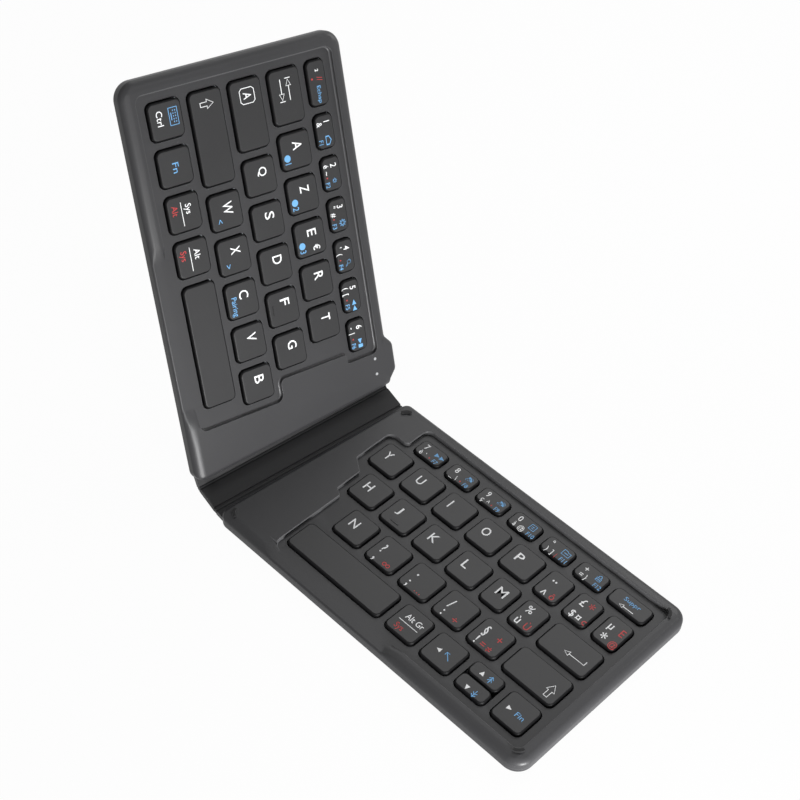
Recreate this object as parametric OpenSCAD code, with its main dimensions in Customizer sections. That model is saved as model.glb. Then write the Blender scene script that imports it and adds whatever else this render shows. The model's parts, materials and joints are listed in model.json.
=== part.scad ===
// Folding keyboard: two chevron halves joined by a flexible spine band.
//
// World frame: +Z up, +Y to the rear along the fold, +X to the right.
// The right half lies flat; the origin is on its underside, in the middle of its plan.
//
// Each half is drawn flat in its own plan frame: u runs from the outer edge towards
// the fold, v from the front edge to the rear, z up from the underside. on_right()
// and on_left() place a piece drawn that way, on_spine() one drawn on the band.

/* [Halves] */
// Plan width of a half at mid depth, outer edge to the deck's fold edge
half_width = 142.9; // [138:0.1:150]
// Plan depth of a half
half_depth = 90; // [88:0.1:96]
// Thickness of a half, underside to deck
half_thick = 6.2; // [6:0.1:7]
// Plan radius of the two outer corners
outer_corner_r = 6.5; // [5:0.1:8]
// Plan radius of the two corners beside the band
fold_corner_r = 4; // [3:0.1:5]
// Rounding of the deck's rim
rim_r = 2; // [1:0.1:2.1]
// Rounding of the underside's rim
sole_r = 1.3; // [0.8:0.1:1.6]
// Wall thickness of the cases
wall = 1.6; // [1.2:0.1:2]

/* [Key field] */
// Pitch of the letter keys along a row
key_pitch = 16.5; // [16:0.1:16.8]
// Pitch of the rows
row_pitch = 16.1; // [15.8:0.1:16.3]
// Pitch of the number keys
number_pitch = 15.8; // [15.4:0.1:16]
// Pitch of the narrow punctuation keys
narrow_pitch = 13.45; // [13:0.05:13.6]
// Pitch of the modifier and arrow keys in the front row
modifier_pitch = 16.4; // [16:0.1:16.6]
// Width of the bars of the case between key wells
web = 2.3; // [2:0.1:2.4]
// Depth of the bars between rows
row_web = 2.2; // [2:0.1:2.4]
// Depth of a number key's well
number_depth = 8.7; // [8.5:0.1:9]
// Gap round a cap in its well
key_gap = 0.4; // [0.3:0.05:0.5]
// Height of the caps over the bed
cap_rise = 1.3; // [1.2:0.1:1.5]
// Rounding of the caps' top edges
cap_edge_r = 0.8; // [0.5:0.1:0.9]
// Plan radius of the caps' corners
cap_corner_r = 2.6; // [2:0.1:2.8]
// Key travel
travel = 1.2; // [1:0.1:1.3]
// Depth of the recessed bed below the deck
recess = 1.5; // [1.3:0.1:1.6]

/* [Fold] */
// Angle between the key columns and the fold
chevron = 6.5; // [5:0.5:8]
// Taper of the band between each deck edge and its hinge line
edge_taper = 1.2; // [0.5:0.1:1.5]
// Distance from a hinge line to the deck edge at mid depth
setback = 3; // [2.8:0.1:3.6]
// Height of the hinge lines over the underside
axis_z = 1.25; // [1.2:0.05:1.4]
// Height of the band's face over its hinge lines
band_rise = 1; // [0.9:0.05:1.1]
// Gap between the decks when the keyboard is closed
closed_gap = 0.85; // [0.8:0.05:1.2]
// Angle of the band from flat as it stands
spine_angle = 14.3; // [0:0.1:90]
// Angle of the left half from the band as it stands
left_angle = 49.8; // [0:0.1:90]

/* [Hidden] */
$fn = 48;
post_facets = 48;
rim_facets = 24;

// Colours
shell_colour = "#505156";
band_colour = "#3c3d40";
cap_colour = "#45464b";
rubber_colour = "#1b1b1d";
steel_colour = "#a9adb2";
clear_colour = "#dcdcd8";
board_colour = "#1f4a35";

// Heights over a half's underside
floor_t = 0.8;
plate_t = 0.3;
sheet_t = 0.2;
plate_z = floor_t;
sheet_z = plate_z + plate_t;
dome_z = sheet_z + sheet_t;
seam_z = axis_z + band_rise;
bed_t = 1;
bed_z = half_thick - recess;
deck_t = 1.2;
cap_top_z = bed_z + cap_rise;
cap_foot_z = dome_z + travel + 0.7;
cap_seat_z = cap_foot_z + 0.4;
pocket_z = cap_top_z - 0.9;

// Plan of the key field
field_u = 8.55;
field_v = (half_depth - 4 * row_pitch - number_depth) / 2 + 0.2;
well_r = cap_corner_r;
cap_r = cap_corner_r - key_gap;
row_depth = row_pitch - row_web;
row_v = [for (i = [0:4]) field_v + i * row_pitch];
field_end_v = row_v[4] + number_depth;
number_u = field_u + 19.7;
space_u = field_u + 4 * modifier_pitch;
space_end_u = space_u + 46.9;
left_upper_u = field_u + 22.9;
left_home_u = field_u + 28.3;
left_lower_u = field_u + 36.6;
right_upper_u = field_u + 3 * narrow_pitch;
right_narrow_u = field_u + 24.4;
right_home_u = right_narrow_u + 2 * narrow_pitch;
right_lower_u = field_u + 25.9;
split_gap = 0.5;
function run_end(u, count, pitch) = u + count * pitch - web;

// Rim between the recess and the wells, and the recess's fold-side steps
recess_margin = 3.4;
left_recess_u = [
    run_end(number_u, 6, number_pitch) + 2.85,
    run_end(left_home_u, 5, key_pitch) + 2.85,
    run_end(left_lower_u, 5, key_pitch) + 2.85
];
right_recess_u = [
    space_end_u + 1.55,
    run_end(right_home_u, 4, key_pitch) + 2.15,
    run_end(right_upper_u, 5, key_pitch) + 2.5,
    run_end(number_u, 6, number_pitch) + 2.25
];

// Thumb relief in front of the space bars: ends of its two slopes
relief_u = [space_u - 16.65, space_u - 10.65, space_end_u - 2.05, space_end_u + 4.95];

// Left half's rear swelling, with the charging port and two lights
// Distance of the port from the fold edge
port_inset = 15.4;
port_u = half_width - port_inset;
swell_u = [port_u - 9.5, port_u - 5.2, port_u + 5.3, port_u + 9.5];
swell_d = 2.8;
port_w = 8.94;
port_h = 3.2;
port_l = 7.3;
board_t = 0.8;
port_z = floor_t + board_t + port_h / 2;
light_r = 0.55;
light_uv = [[port_u - 1.8, half_depth - 6.7], [port_u + 4.4, half_depth - 6.9]];

// Dead area beside the fold in the left half
battery_u = [half_width - 12.5, half_width - 3.1];
battery_v = [8, 40];
battery_t = 3.4;
board_u = [port_u - 4.5, port_u + 6.9];
board_v = [44, half_depth - 2];

// Bumpers near the right half's corners: place and turn of each crescent
bumper_h = 0.8;
bumper_arc_r = 4;
bumper_w = 1.1;
bumper_uv = [
    [7.4, 7.4, -45],
    [half_width - 3, 6.2, 45],
    [half_width - 10.6, half_depth - 7.3, 135],
    [7.8, half_depth - 7.8, -135]
];

// Fold
edge_angle = chevron - edge_taper;
hinge_span = 2 * (half_thick - axis_z) + closed_gap;
fold_edge = half_width * cos(chevron) + half_depth / 2 * sin(chevron) + setback;
centre_x = half_width / 2 * cos(chevron) + half_depth / 2 * sin(chevron);
centre_y = half_depth / 2 * cos(chevron) - half_width / 2 * sin(chevron);
right_axis_x = centre_x - fold_edge;
left_axis = [right_axis_x - hinge_span * cos(spine_angle), 0,
             axis_z + hinge_span * sin(spine_angle)];
bead_r = band_rise - 0.05;
cove_r = bead_r + 0.08;
skin_t = 0.4;
lip_reach = setback + 3;
band_y = [fold_end_y(0) + 1.7717, fold_end_y(half_depth) - 1.0949];

function fold_end_y(v) =
    v * cos(chevron) - fold_u(v, 0) * sin(chevron) - centre_y;

// ---- Placing ----

// Fold frames: the hinge line is the Y axis at z = axis_z, the half is on the -x side
module right_fold() {
    translate([right_axis_x, 0, 0])
        mirror([1, 0, 0])
            children();
}

module left_fold() {
    translate(left_axis)
        rotate([0, spine_angle + left_angle, 0])
            translate([0, 0, -axis_z])
                children();
}

// Plan frame of a half inside its fold frame
module half_plan() {
    translate([-fold_edge, -centre_y, 0])
        rotate([0, 0, -chevron])
            children();
}

module on_right() {
    right_fold() half_plan() children();
}

module on_left() {
    left_fold() half_plan() children();
}

// Band frame: right hinge line at x = 0, left one at x = -hinge_span
module on_spine() {
    translate([right_axis_x, 0, axis_z])
        rotate([0, spine_angle, 0])
            translate([0, 0, -axis_z])
                children();
}

// A profile drawn in x and z, drawn out along the fold
module along_fold() {
    translate([0, band_y[1], 0])
        rotate([90, 0, 0])
            linear_extrude(band_y[1] - band_y[0])
                children();
}

// ---- Rounded outlines and slabs ----

function unit(v) = v / norm(v);
function at(list, i) = list[(i + len(list)) % len(list)];
function half_turn(p, i) = acos(unit(at(p, i - 1) - p[i]) * unit(at(p, i + 1) - p[i])) / 2;
function bisector(p, i) = unit(unit(at(p, i - 1) - p[i]) + unit(at(p, i + 1) - p[i]));
function arc_centre(p, i, r) = p[i] + bisector(p, i) * r / sin(half_turn(p, i));
function tangent(p, i, step, r) = p[i] + unit(at(p, i + step) - p[i]) * r / tan(half_turn(p, i));
function left_turn(p, i) = cross(p[i] - at(p, i - 1), at(p, i + 1) - p[i]) > 0;

// A polygon drawn anticlockwise, each corner rounded by its own radius with a true arc
module rounded_polygon(points, radii) {
    corners = [0:len(points) - 1];
    difference() {
        union() {
            polygon([
                for (i = corners) each [
                    tangent(points, i, -1, radii[i]),
                    tangent(points, i, 1, radii[i])
                ]
            ]);
            for (i = corners)
                if (left_turn(points, i))
                    translate(arc_centre(points, i, radii[i])) circle(radii[i]);
        }
        for (i = corners)
            if (!left_turn(points, i))
                translate(arc_centre(points, i, radii[i])) circle(radii[i]);
    }
}

// Cross-section of a slab's border: outer side at x = 0, foot and top edges rounded
module border_profile(width, height, foot_r, top_r) {
    difference() {
        square([width, height]);
        if (foot_r > 0)
            difference() {
                translate([-1, -1]) square(foot_r + 1);
                translate([foot_r, foot_r]) circle(foot_r);
            }
        if (top_r > 0)
            difference() {
                translate([-1, height - top_r]) square(top_r + 1);
                translate([top_r, height - top_r]) circle(top_r);
            }
    }
}

// A rectangular slab from z0 to z1, centred, with rounded corners and a rounded top
// edge: a bar along each side, a quarter ring at each corner and a core in the middle
module rounded_block(size, r, z0, z1, top_r) {
    width = top_r + 0.8;
    inset = width - 0.4;
    core = [size[0] / 2 - inset, size[1] / 2 - inset];
    translate([0, 0, z0]) {
        linear_extrude(z1 - z0)
            rounded_polygon([-core, [core[0], -core[1]], core, [-core[0], core[1]]],
                            [r - inset, r - inset, r - inset, r - inset]);
        for (turn = [0:3]) {
            span = turn % 2 == 0 ? size : [size[1], size[0]];
            rotate([0, 0, 90 * turn]) {
                translate([-span[0] / 2 + r, -span[1] / 2, 0])
                    rotate([90, 0, 90])
                        linear_extrude(span[0] - 2 * r)
                            border_profile(width, z1 - z0, 0, top_r);
                translate([span[0] / 2 - r, -span[1] / 2 + r, 0])
                    rotate([0, 0, -90])
                        rotate_extrude(angle = 90)
                            translate([r, 0])
                                mirror([1, 0])
                                    border_profile(width, z1 - z0, 0, top_r);
            }
        }
    }
}

// A convex slab from z0 to z1 with its foot and top edges rounded all round, stretched
// over a turned post at each corner
module rounded_slab(points, radii, z0, z1, foot_r, top_r) {
    hull()
        for (i = [0:len(points) - 1])
            translate(arc_centre(points, i, radii[i]))
                translate([0, 0, z0])
                    rotate_extrude($fn = post_facets)
                        translate([radii[i], 0])
                            mirror([1, 0])
                                border_profile(radii[i], z1 - z0, foot_r, top_r, $fn = rim_facets);
}

// ---- Plan of the halves ----

function fold_u(v, inset) =
    half_width + (half_depth / 2 - v) * tan(edge_angle) - inset / cos(edge_angle);
function half_points(inset = 0) = [
    [inset, inset],
    [fold_u(inset, inset), inset],
    [fold_u(half_depth - inset, inset), half_depth - inset],
    [inset, half_depth - inset]
];
function half_radii(inset = 0) = [
    outer_corner_r - inset,
    fold_corner_r - inset,
    fold_corner_r - inset,
    outer_corner_r - inset
];

// The left half's rear swelling, drawn well into the half
swell_points = [
    [swell_u[0], half_depth - 9],
    [swell_u[3], half_depth - 9],
    [swell_u[3], half_depth - 0.8],
    [swell_u[2], half_depth + swell_d],
    [swell_u[1], half_depth + swell_d],
    [swell_u[0], half_depth - 0.8]
];
function swell_radii(rounding) = [for (i = [0:5]) rounding + 1];

function recess_front() = field_v - recess_margin;
function recess_rear() = field_end_v + recess_margin;
left_recess = [
    [field_u - recess_margin, recess_front()],
    [left_recess_u[2], recess_front()],
    [left_recess_u[2], row_v[2] + 0.25],
    [left_recess_u[1], row_v[2] + 0.25],
    [left_recess_u[1], row_v[4] - 2.15],
    [left_recess_u[0], row_v[4] - 2.15],
    [left_recess_u[0], recess_rear()],
    [field_u - recess_margin, recess_rear()]
];
right_recess = [
    [field_u - recess_margin, recess_front()],
    [right_recess_u[0], recess_front()],
    [right_recess_u[0], row_v[2] - 2.95],
    [right_recess_u[1], row_v[2] - 1.15],
    [right_recess_u[1], row_v[3] - 5.75],
    [right_recess_u[2], row_v[3] - 1.55],
    [right_recess_u[2], row_v[4] + 0.65],
    [right_recess_u[3], row_v[4] + 0.65],
    [right_recess_u[3], recess_rear()],
    [field_u - recess_margin, recess_rear()]
];
left_recess_r = [3, 3, 3, 2, 1.2, 1.2, 3, 3];
right_recess_r = [3, 3, 0.8, 0.8, 1.5, 1.5, 3, 2, 3, 3];

// ---- Key wells: [u from, u to, row] ----

function run(u, count, pitch, row) = [
    for (k = [0:count - 1]) [u + k * pitch, u + (k + 1) * pitch - web, row]
];
function single(u, next_u, row) = [u, next_u - web, row];
function well_w(well) = well[1] - well[0];
function well_v(well) = row_v[well[2]];
function well_d(well) = well[2] == 4 ? number_depth : row_depth;
function middle(well) = [(well[0] + well[1]) / 2, well_v(well) + well_d(well) / 2];

number_wells = run(number_u, 6, number_pitch, 4);
corner_well = single(field_u, number_u, 4);
modifier_wells = run(field_u, 4, modifier_pitch, 0);
space_well = [space_u, space_end_u, 0];

tab_well = single(field_u, left_upper_u, 3);
caps_lock_well = single(field_u, left_home_u, 2);
left_shift_well = single(field_u, left_lower_u, 1);
left_upper_wells = run(left_upper_u, 5, key_pitch, 3);
left_home_wells = run(left_home_u, 5, key_pitch, 2);
left_lower_wells = run(left_lower_u, 5, key_pitch, 1);
left_wells = concat(
    number_wells, modifier_wells, left_upper_wells, left_home_wells, left_lower_wells,
    [corner_well, tab_well, caps_lock_well, left_shift_well, space_well]
);

enter_well = single(field_u, right_narrow_u, 2);
right_shift_well = single(field_u, right_lower_u, 1);
right_upper_wells = concat(
    run(field_u, 3, narrow_pitch, 3), run(right_upper_u, 5, key_pitch, 3)
);
right_home_wells = concat(
    run(right_narrow_u, 2, narrow_pitch, 2), run(right_home_u, 4, key_pitch, 2)
);
right_lower_wells = run(right_lower_u, 5, key_pitch, 1);
right_wells = concat(
    number_wells, modifier_wells, right_upper_wells, right_home_wells, right_lower_wells,
    [corner_well, enter_well, right_shift_well, space_well]
);
// The up and down arrows share this well of the right half
split_well = modifier_wells[1];

module well_plan(well) {
    u = [well[0], well[1]];
    v = [well_v(well), well_v(well) + well_d(well)];
    rounded_polygon([[u[0], v[0]], [u[1], v[0]], [u[1], v[1]], [u[0], v[1]]],
                    [well_r, well_r, well_r, well_r]);
}

// ---- Keys ----

// A cap with a rounded top edge, a hollow under it and a boss for its dome
module cap_block(size, boss_r) {
    skirt = 0.9;
    color(cap_colour) {
        difference() {
            rounded_block(size, min(cap_r, size[1] / 3), cap_foot_z, cap_top_z, cap_edge_r);
            translate([0, 0, (cap_foot_z - 1 + pocket_z) / 2])
                cube([size[0] - 2 * skirt, size[1] - 2 * skirt, pocket_z - cap_foot_z + 1],
                     center = true);
        }
        translate([0, 0, cap_seat_z])
            cylinder(h = pocket_z - cap_seat_z + 0.2, r = boss_r);
    }
}

module cap(well) {
    translate(middle(well))
        cap_block([well_w(well) - 2 * key_gap, well_d(well) - 2 * key_gap],
                  dome_r(well) * 0.65);
}

module caps(wells) {
    for (well = wells)
        cap(well);
}

// Raised bar that marks a home key
module home_bar(well) {
    color(cap_colour)
        translate([middle(well)[0] - 1.8, well_v(well) + 2.4, cap_top_z - 0.2])
            cube([3.6, 0.5, 0.4]);
}

// Front (0) or rear (1) cap of the split well
function split_v(part) =
    let (v0 = well_v(split_well) + key_gap,
         v1 = well_v(split_well) + well_d(split_well) - key_gap,
         mid = (v0 + v1) / 2)
    part == 0 ? [v0, mid - split_gap / 2] : [mid + split_gap / 2, v1];

module split_cap(part) {
    v = split_v(part);
    translate([middle(split_well)[0], (v[0] + v[1]) / 2])
        cap_block([well_w(split_well) - 2 * key_gap, v[1] - v[0]], 0.9);
}

// ---- Under the caps ----

function dome_r(well) = min(well[2] == 4 ? 1.8 : 2.8, (well_w(well) - 8.2) / 2);

module dome(centre, r) {
    translate([centre[0], centre[1], dome_z])
        cylinder(h = cap_seat_z - dome_z, r1 = r, r2 = r * 0.65);
}

// Inner and outer link frames that cross under a cap and pivot on two short pins
module scissor(well) {
    bar = 0.7;
    thick = 0.5;
    gap = 0.2;
    width = well_w(well) - 4.7;
    reach = well_d(well) - 5.4 + (well[2] == 4 ? 3 : 0);
    rise = pocket_z - dome_z;
    tilt = asin((rise - thick) / reach);
    translate([middle(well)[0], middle(well)[1], (pocket_z + dome_z) / 2]) {
        for (inner = [0, 1]) {
            w = width - inner * 2 * (bar + gap);
            rotate([inner == 0 ? tilt : -tilt, 0, 0])
                linear_extrude(thick, center = true)
                    difference() {
                        square([w, reach], center = true);
                        square([w - 2 * bar, reach - 2 * bar], center = true);
                    }
        }
        for (side = [-1, 1])
            translate([side * (width / 2 - bar - gap / 2), 0, 0])
                rotate([0, 90, 0])
                    cylinder(h = gap + bar, r = 0.2, center = true);
    }
}

function on_split(wells, well) = well == split_well && wells == right_wells;

module domes(wells) {
    color(clear_colour)
        for (well = wells)
            if (on_split(wells, well))
                for (part = [0, 1])
                    dome([middle(well)[0], (split_v(part)[0] + split_v(part)[1]) / 2], 1.4);
            else
                dome(middle(well), dome_r(well));
}

module scissors(wells) {
    color(clear_colour)
        for (well = wells)
            if (!on_split(wells, well))
                scissor(well);
}

// Sheet under the whole field
module field_sheet(z, thickness) {
    margin = 2.4;
    u = [field_u - margin, space_end_u + 1];
    v = [field_v - margin, field_end_v + margin];
    translate([0, 0, z])
        linear_extrude(thickness)
            rounded_polygon([[u[0], v[0]], [u[1], v[0]], [u[1], v[1]], [u[0], v[1]]],
                            [3, 3, 3, 3]);
}

module steel_plate() {
    color(steel_colour) field_sheet(plate_z, plate_t);
}

module membrane() {
    color(clear_colour) field_sheet(sheet_z, sheet_t);
}

// ---- Cases ----

// Hollow under the bed and, beside it, under the deck
module hollow(z0) {
    translate([0, 0, z0])
        linear_extrude(bed_z - bed_t - z0)
            rounded_polygon(half_points(wall), half_radii(wall));
}

module relief() {
    top = half_thick + 1;
    translate([0, recess_front() + 1, 0])
        rotate([90, 0, 0])
            linear_extrude(recess_front() + 3)
                polygon([
                    [relief_u[0] - 1, top], [relief_u[0], half_thick], [relief_u[1], bed_z],
                    [relief_u[2], bed_z], [relief_u[3], half_thick], [relief_u[3] + 1, top]
                ]);
}

// Deck and bed in one moulding, open below
module top_case(wells, recess_points, recess_radii) {
    color(shell_colour)
        difference() {
            union() {
                rounded_slab(half_points(), half_radii(), seam_z, half_thick, 0, rim_r);
                children();
            }
            translate([0, 0, bed_z])
                linear_extrude(recess + 1)
                    rounded_polygon(recess_points, recess_radii);
            relief();
            hollow(seam_z - 1);
            for (well = wells)
                translate([0, 0, seam_z])
                    linear_extrude(half_thick)
                        well_plan(well);
        }
}

// Soft flap from under the deck's fold edge to the hinge line
module flap_profile() {
    translate([-lip_reach, seam_z - skin_t])
        square([lip_reach - 1.2, skin_t]);
}

// Floor and lower walls of a half
module cover_tray() {
    difference() {
        union() {
            rounded_slab(half_points(), half_radii(), 0, seam_z, sole_r, 0);
            children();
        }
        translate([0, 0, floor_t])
            linear_extrude(seam_z)
                rounded_polygon(half_points(wall), half_radii(wall));
        grips(1);
    }
}

// A tray with the lip that carries the cove for the band's bead
module bottom_cover() {
    color(shell_colour)
        difference() {
            union() {
                half_plan() children();
                along_fold()
                    polygon([
                        [-lip_reach, 0], [-0.5, 0], [-0.5, axis_z + 0.3],
                        [-1.2, seam_z - skin_t], [-lip_reach, seam_z - skin_t]
                    ]);
            }
            along_fold() {
                translate([0, axis_z]) circle(cove_r);
                flap_profile();
            }
        }
}

// Rubber strips let in flush along the front and rear of the underside
module grips(clearance = 0) {
    depth = 0.5;
    color(rubber_colour)
        for (v = [6, half_depth - 10])
            translate([0, 0, -clearance])
                linear_extrude(depth + clearance)
                    rounded_polygon([[12, v], [half_width - 14.9, v],
                                     [half_width - 14.9, v + 4], [12, v + 4]],
                                    [1.9, 1.9, 1.9, 1.9]);
}

// ---- The band between the halves ----

module fold_lip() {
    color(band_colour) along_fold() flap_profile();
}

module spine_core() {
    far = -hinge_span;
    top = seam_z - skin_t;
    color(band_colour)
        along_fold() {
            polygon([
                [-0.5, 0], [-0.5, axis_z + 0.3], [-1.2, top],
                [far + 1.2, top], [far + 0.5, axis_z + 0.3], [far + 0.5, 0]
            ]);
            for (x = [0, far])
                translate([x, axis_z]) circle(bead_r);
        }
}

module spine_band() {
    color(band_colour)
        along_fold()
            translate([-hinge_span + 1.2, seam_z - skin_t])
                square([hinge_span - 2.4, skin_t]);
}

// ---- Trim and electronics ----

// Crescent pad that keeps the decks apart when the keyboard is closed
module bumper(place) {
    reach = 58;
    color(rubber_colour)
        translate([place[0], place[1], half_thick])
            rotate([0, 0, place[2]])
                linear_extrude(bumper_h)
                    difference() {
                        circle(bumper_arc_r);
                        circle(bumper_arc_r - bumper_w);
                        rotate(reach) translate([-50, 0]) square([100, 50]);
                        rotate(-reach + 180) translate([-50, -50]) square([100, 50]);
                    }
}

module bumpers() {
    for (place = bumper_uv)
        bumper(place);
}

module battery() {
    color("#8e9196") block(battery_u, battery_v, floor_t, floor_t + battery_t);
}

module controller_board() {
    color(board_colour) block(board_u, board_v, floor_t, floor_t + board_t);
}

module block(u, v, z0, z1) {
    translate([u[0], v[0], z0])
        cube([u[1] - u[0], v[1] - v[0], z1 - z0]);
}

module pill(width, r) {
    square([width - 2 * r, 2 * r], center = true);
    for (side = [-1, 1])
        translate([side * (width / 2 - r), 0]) circle(r);
}

// Something drawn out to the rear from the port's front end
module port_run(length) {
    translate([port_u, half_depth + swell_d - port_l, port_z])
        rotate([-90, 0, 0])
            linear_extrude(length)
                children();
}

module charge_port() {
    color(steel_colour) {
        difference() {
            port_run(port_l) pill(port_w, port_h / 2);
            translate([0, 1, 0]) port_run(port_l) pill(port_w - 0.6, port_h / 2 - 0.3);
        }
        translate([0, 0.5, 0]) port_run(5) square([6.6, 0.7], center = true);
    }
}

module status_lights() {
    color("white")
        for (place = light_uv)
            translate([place[0], place[1], floor_t + board_t])
                cylinder(h = half_thick - floor_t - board_t, r = light_r);
}

module port_opening() {
    fit = 0.05;
    translate([0, -0.2, 0])
        port_run(port_l + 2) pill(port_w + 2 * fit, port_h / 2 + fit);
}

module left_top_case() {
    color(shell_colour)
        difference() {
            top_case(left_wells, left_recess, left_recess_r)
                rounded_slab(swell_points, swell_radii(rim_r), seam_z, half_thick, 0, rim_r);
            port_opening();
            block(battery_u, battery_v, seam_z - 1, floor_t + battery_t);
            for (place = light_uv)
                translate([place[0], place[1], seam_z])
                    cylinder(h = half_thick, r = light_r);
        }
}

module left_cover_tray() {
    difference() {
        cover_tray()
            rounded_slab(swell_points, swell_radii(sole_r), 0, seam_z, sole_r, 0);
        port_opening();
    }
}

right_fold() bottom_cover() cover_tray();  // right_bottom_cover
right_fold() fold_lip();  // right_fold_lip
on_right() grips();  // right_grips
on_right() steel_plate();  // right_plate
on_right() membrane();  // right_membrane
on_right() domes(right_wells);  // right_domes
on_right() scissors(right_wells);  // right_scissors
on_right() top_case(right_wells, right_recess, right_recess_r);  // right_top_case
on_right() bumpers();  // right_bumpers

on_spine() spine_core();
on_spine() spine_band();

left_fold() bottom_cover() left_cover_tray();  // left_bottom_cover
left_fold() fold_lip();  // left_fold_lip
on_left() grips();  // left_grips
on_left() steel_plate();  // left_plate
on_left() membrane();  // left_membrane
on_left() domes(left_wells);  // left_domes
on_left() scissors(left_wells);  // left_scissors
on_left() left_top_case();
on_left() battery();
on_left() controller_board();
on_left() charge_port();
on_left() status_lights();

on_right() caps(number_wells);  // right_number_caps
on_right() caps(right_upper_wells);  // right_upper_caps
on_right() { caps(right_home_wells); home_bar(right_home_wells[4]); }  // right_home_caps
on_right() caps(right_lower_wells);  // right_lower_caps
on_right() cap(corner_well);  // backspace_key
on_right() cap(enter_well);  // enter_key
on_right() cap(right_shift_well);  // right_shift_key
on_right() cap(space_well);  // right_space_key
on_right() cap(modifier_wells[3]);  // alt_gr_key
on_right() cap(modifier_wells[2]);  // arrow_left_key
on_right() split_cap(1);  // arrow_up_key
on_right() split_cap(0);  // arrow_down_key
on_right() cap(modifier_wells[0]);  // arrow_right_key

on_left() caps(number_wells);  // left_number_caps
on_left() caps(left_upper_wells);  // left_upper_caps
on_left() { caps(left_home_wells); home_bar(left_home_wells[3]); }  // left_home_caps
on_left() caps(left_lower_wells);  // left_lower_caps
on_left() cap(corner_well);  // escape_key
on_left() cap(tab_well);  // tab_key
on_left() cap(caps_lock_well);  // caps_lock_key
on_left() cap(left_shift_well);  // left_shift_key
on_left() cap(modifier_wells[0]);  // ctrl_key
on_left() cap(modifier_wells[1]);  // fn_key
on_left() cap(modifier_wells[2]);  // system_key
on_left() cap(modifier_wells[3]);  // alt_key
on_left() cap(space_well);  // left_space_key
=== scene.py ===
import json
import math

import bmesh
import bpy
from bpy.props import FloatProperty, FloatVectorProperty, PointerProperty
from bpy.types import Operator, Panel, PropertyGroup
from mathutils import Matrix, Vector

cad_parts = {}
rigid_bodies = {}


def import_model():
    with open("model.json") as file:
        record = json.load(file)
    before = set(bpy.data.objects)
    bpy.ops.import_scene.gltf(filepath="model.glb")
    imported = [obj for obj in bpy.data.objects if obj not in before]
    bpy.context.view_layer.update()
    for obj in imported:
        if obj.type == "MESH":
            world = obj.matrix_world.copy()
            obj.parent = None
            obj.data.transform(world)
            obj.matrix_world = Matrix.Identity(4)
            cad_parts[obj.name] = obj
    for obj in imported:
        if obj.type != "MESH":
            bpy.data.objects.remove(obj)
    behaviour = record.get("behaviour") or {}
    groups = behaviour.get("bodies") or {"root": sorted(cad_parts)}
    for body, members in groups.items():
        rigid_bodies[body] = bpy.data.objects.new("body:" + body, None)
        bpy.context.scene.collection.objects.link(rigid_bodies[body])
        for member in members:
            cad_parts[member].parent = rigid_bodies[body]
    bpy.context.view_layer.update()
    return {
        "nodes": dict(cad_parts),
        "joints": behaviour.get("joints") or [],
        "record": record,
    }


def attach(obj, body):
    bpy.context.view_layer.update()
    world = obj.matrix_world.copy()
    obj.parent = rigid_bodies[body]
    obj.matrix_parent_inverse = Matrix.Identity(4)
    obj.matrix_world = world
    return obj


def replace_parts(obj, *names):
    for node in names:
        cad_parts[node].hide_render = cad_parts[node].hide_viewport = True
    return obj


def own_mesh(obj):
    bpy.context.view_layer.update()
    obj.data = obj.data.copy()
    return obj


bl_info = {
    "name": "Folding keyboard",
    "version": (1, 0, 0),
    "blender": (4, 5, 0),
    "location": "View3D > Sidebar > Folding keyboard",
    "description": "Moulded cases, band and printed keys for the keyboard's frame",
    "category": "Object",
}

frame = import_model()
JOINTS = {joint["name"]: joint for joint in frame["joints"]}
BODY_OF = {
    node: body
    for body, nodes in frame["record"]["behaviour"]["bodies"].items()
    for node in nodes
}

# Sizes of a half, shared with the part's source. Sizes are in millimetres unless a
# comment says otherwise.
MM = 0.001
HALF_WIDTH = 142.9
HALF_DEPTH = 90
HALF_THICK = 6.2
RECESS = 1.5
BED = HALF_THICK - RECESS
CAP_TOP = 6
CHEVRON = math.radians(6.5)
SETBACK = 3
AXIS_Z = 1.25

# Key field: its place in a half, the pitches, the bars between wells and the gap round
# a cap
FIELD = 8.55
FIELD_FRONT = 8.65
KEY_PITCH = 16.5
ROW_PITCH = 16.1
NUMBER_PITCH = 15.8
NARROW_PITCH = 13.45
MODIFIER_PITCH = 16.4
ROW_DEPTH = 13.9
NUMBER_DEPTH = 8.7
WEB = 2.3
KEY_GAP = 0.4

# Widths of the keys at the ends of the rows, with the bar beside them
ESCAPE_WIDTH = 19.7
TAB_WIDTH = 22.9
LOCK_WIDTH = 28.3
LEFT_SHIFT_WIDTH = 36.6
ENTER_WIDTH = 24.4
RIGHT_SHIFT_WIDTH = 25.9
FRONT_ROW, LOWER_ROW, HOME_ROW, UPPER_ROW, NUMBER_ROW = range(5)

FOLD_EDGE = (
    HALF_WIDTH * math.cos(CHEVRON) + HALF_DEPTH / 2 * math.sin(CHEVRON) + SETBACK
)
CENTRE_Y = HALF_DEPTH / 2 * math.cos(CHEVRON) - HALF_WIDTH / 2 * math.sin(CHEVRON)

# Colours of painted light: a painted highlight on the recess's rounded edges and walls,
# and painted shade on the walls of the key wells and on the caps' sides
PAINTED_HIGHLIGHT_TONE = (0.08, 0.08, 0.083)
PAINTED_SHADE_TONE = (0.005, 0.005, 0.0055)

# Roll of the cases' outer rims: plan corner, width, depth, foot, how far it starts past
# the fold edge, and where the deck is cut for it
CORNER_R = 6.5
ROLL_WIDTH = 4.2
ROLL_DEPTH = 2.4
ROLL_FOOT = 4.1
ROLL_SHIFT = 0.4
ROLL_CUTS = (0.4, 0.8, 1.25, 1.75, 2.4, 3.0, 3.6, 4.2)

# Left half's rear swelling, where the deck runs on to the edge: start, full depth from
# and to, end, how deep it is and how much of the roll it takes away
SWELL = (118, 122.3, 132.8, 137)
SWELL_DEPTH = 2.8
SWELL_CALM = 0.85

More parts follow.
